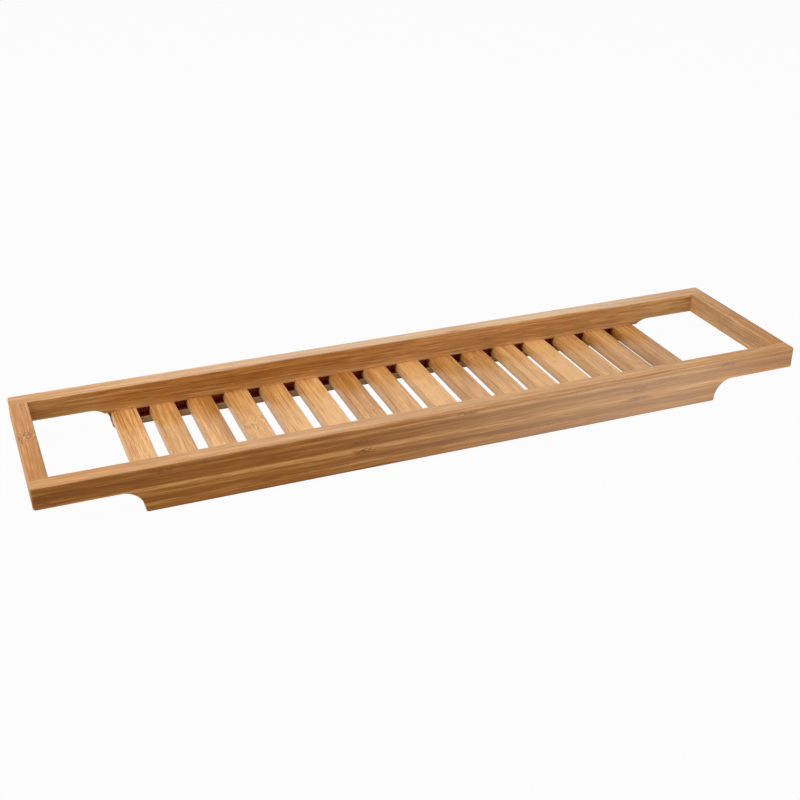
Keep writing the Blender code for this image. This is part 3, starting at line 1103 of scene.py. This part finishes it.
class CADDY_OT_end_rails(bpy.types.Operator):
    """Draws the two end rails between the side rails"""

    bl_idname = "caddy.end_rails"
    bl_label = "End rails"

    def execute(self, context):
        sizes = context.scene.caddy_sizes
        half_width = inner_face(sizes) - sizes.joint_line
        for node, facts in END_RAILS.items():
            low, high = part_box(node)
            form = box_form((low.x, -half_width, low.z), (high.x, half_width, high.z))
            across = [edge for edge in form.edges if edge.verts[0].co.y * edge.verts[1].co.y < 0]
            round_edges(form, across, sizes.edge_radius, EDGE_SEGMENTS)
            facts = rail_facts({**BOTH_END_RAILS, **facts}, 1, half_width)
            finished_piece(form, f"{node}_bar", node, "end_bamboo", facts)
        return {"FINISHED"}


class CADDY_OT_slats(bpy.types.Operator):
    """Draws the slats, each with a tone, grain and knuckle of its own"""

    bl_idname = "caddy.slats"
    bl_label = "Slats"

    def execute(self, context):
        sizes = context.scene.caddy_sizes
        for number in range(1, len(SLAT_TONES) + 1):
            node = f"slat_{number:02d}"
            low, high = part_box(node)
            form = rounded_slat(sizes, low, high)
            facts = slat_facts(number, low, high)
            finished_piece(form, f"{node}_strip", node, "slat_bamboo", facts)
        return {"FINISHED"}


class CADDY_OT_dowels(bpy.types.Operator):
    """Mixes the beech of the frame's eight dowels, and gives it to them"""

    bl_idname = "caddy.dowels"
    bl_label = "Dowels"

    def execute(self, context):
        beech = dowel_beech(context.scene.caddy_colours)
        for name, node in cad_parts.items():
            if name.startswith("dowel_"):
                for slot in node.material_slots:
                    slot.material = beech
        return {"FINISHED"}


def area_lamp(name, place, target, size, power):
    light = bpy.data.lights.new(name, "AREA")
    light.shape = "RECTANGLE"
    light.size, light.size_y = size
    light.energy = power
    lamp = bpy.data.objects.new(name, light)
    bpy.context.scene.collection.objects.link(lamp)
    lamp.location = place
    lamp.rotation_euler = (Vector(target) - Vector(place)).to_track_quat("-Z", "Y").to_euler()
    lamp.visible_camera = False


def seen_white(wiring):
    """1 for rays that show the background: from the camera, in a reflection, or through glass."""
    path = wiring.add("ShaderNodeLightPath").outputs
    seen = wiring.math("MAXIMUM", path["Is Camera Ray"], path["Is Glossy Ray"])
    return wiring.math("MAXIMUM", seen, path["Is Transmission Ray"])


def mix_shaders(wiring, share, first, second):
    inputs = {0: share, 1: first.outputs[0], 2: second.outputs[0]}
    return wiring.add("ShaderNodeMixShader", inputs).outputs[0]


class CADDY_OT_stage(bpy.types.Operator):
    """Lays the pale floor, and sets the lamps, the background and the camera"""

    bl_idname = "caddy.stage"
    bl_label = "Stage"

    def execute(self, context):
        scene = context.scene
        scene.view_settings.view_transform = "Standard"
        self.lay_floor(scene)
        self.light(scene)
        self.set_camera(scene)
        return {"FINISHED"}

    def lay_floor(self, scene):
        mesh = bpy.data.meshes.new("floor")
        form = bmesh.new()
        bmesh.ops.create_grid(form, x_segments=1, y_segments=1, size=FLOOR_HALF_SIZE)
        form.to_mesh(mesh)
        form.free()
        floor = bpy.data.objects.new("floor", mesh)
        scene.collection.objects.link(floor)
        floor.location.z = CAD_BOX[0].z - FLOOR_GAP
        material, wiring = new_material("pale_floor")
        shader = material.node_tree.nodes["Principled BSDF"]
        shader.inputs["Base Color"].default_value = rgba(scene.caddy_colours.floor)
        shader.inputs["Roughness"].default_value = FLOOR_ROUGHNESS
        shader.inputs["Specular IOR Level"].default_value = 0.0
        white = wiring.add("ShaderNodeEmission", {"Color": grey(1.0), "Strength": 1.0})
        share = wiring.times(seen_white(wiring), FLOOR_WHITENESS)
        output = material.node_tree.nodes["Material Output"]
        wiring.feed(output.inputs["Surface"], mix_shaders(wiring, share, shader, white))
        mesh.materials.append(material)

    def light(self, scene):
        world = bpy.data.worlds.new("studio")
        world.use_nodes = True
        scene.world = world
        wiring = Wiring(world.node_tree)
        soft = wiring.add("ShaderNodeBackground", {"Color": grey(1.0), "Strength": SOFT_LIGHT})
        white = wiring.add("ShaderNodeBackground", {"Color": grey(1.0), "Strength": 1.0})
        output = world.node_tree.nodes["World Output"]
        wiring.feed(output.inputs["Surface"], mix_shaders(wiring, seen_white(wiring), soft, white))
        for lamp in LAMPS:
            area_lamp(*lamp)

    def set_camera(self, scene):
        lens = bpy.data.cameras.new("camera")
        lens.sensor_width = SENSOR_WIDTH
        lens.lens = LENS
        camera = bpy.data.objects.new("camera", lens)
        scene.collection.objects.link(camera)
        camera.location = CAMERA_PLACE
        camera.rotation_euler = [math.radians(turn) for turn in CAMERA_TURN]
        scene.camera = camera


BUILD_STEPS = (
    CADDY_OT_finishes,
    CADDY_OT_side_rails,
    CADDY_OT_end_rails,
    CADDY_OT_slats,
    CADDY_OT_dowels,
    CADDY_OT_stage,
)


class CADDY_PT_panel(bpy.types.Panel):
    """The caddy's sizes and colours, and the steps that draw it"""

    bl_idname = "CADDY_PT_panel"
    bl_label = "Bath Caddy"
    bl_space_type = "VIEW_3D"
    bl_region_type = "UI"
    bl_category = "Caddy"

    def draw(self, context):
        for group in (context.scene.caddy_sizes, context.scene.caddy_colours):
            box = self.layout.box()
            for name in group.__annotations__:
                box.prop(group, name)
        for step in BUILD_STEPS:
            self.layout.operator(step.bl_idname)


CLASSES = (CaddySizes, CaddyColours, *BUILD_STEPS, CADDY_PT_panel)


def register():
    for cls in CLASSES:
        bpy.utils.register_class(cls)
    bpy.types.Scene.caddy_sizes = bpy.props.PointerProperty(type=CaddySizes)
    bpy.types.Scene.caddy_colours = bpy.props.PointerProperty(type=CaddyColours)


def unregister():
    del bpy.types.Scene.caddy_colours
    del bpy.types.Scene.caddy_sizes
    for cls in reversed(CLASSES):
        bpy.utils.unregister_class(cls)


def main():
    register()
    for step in BUILD_STEPS:
        group, name = step.bl_idname.split(".")
        getattr(getattr(bpy.ops, group), name)()


if __name__ == "__main__":
    main()
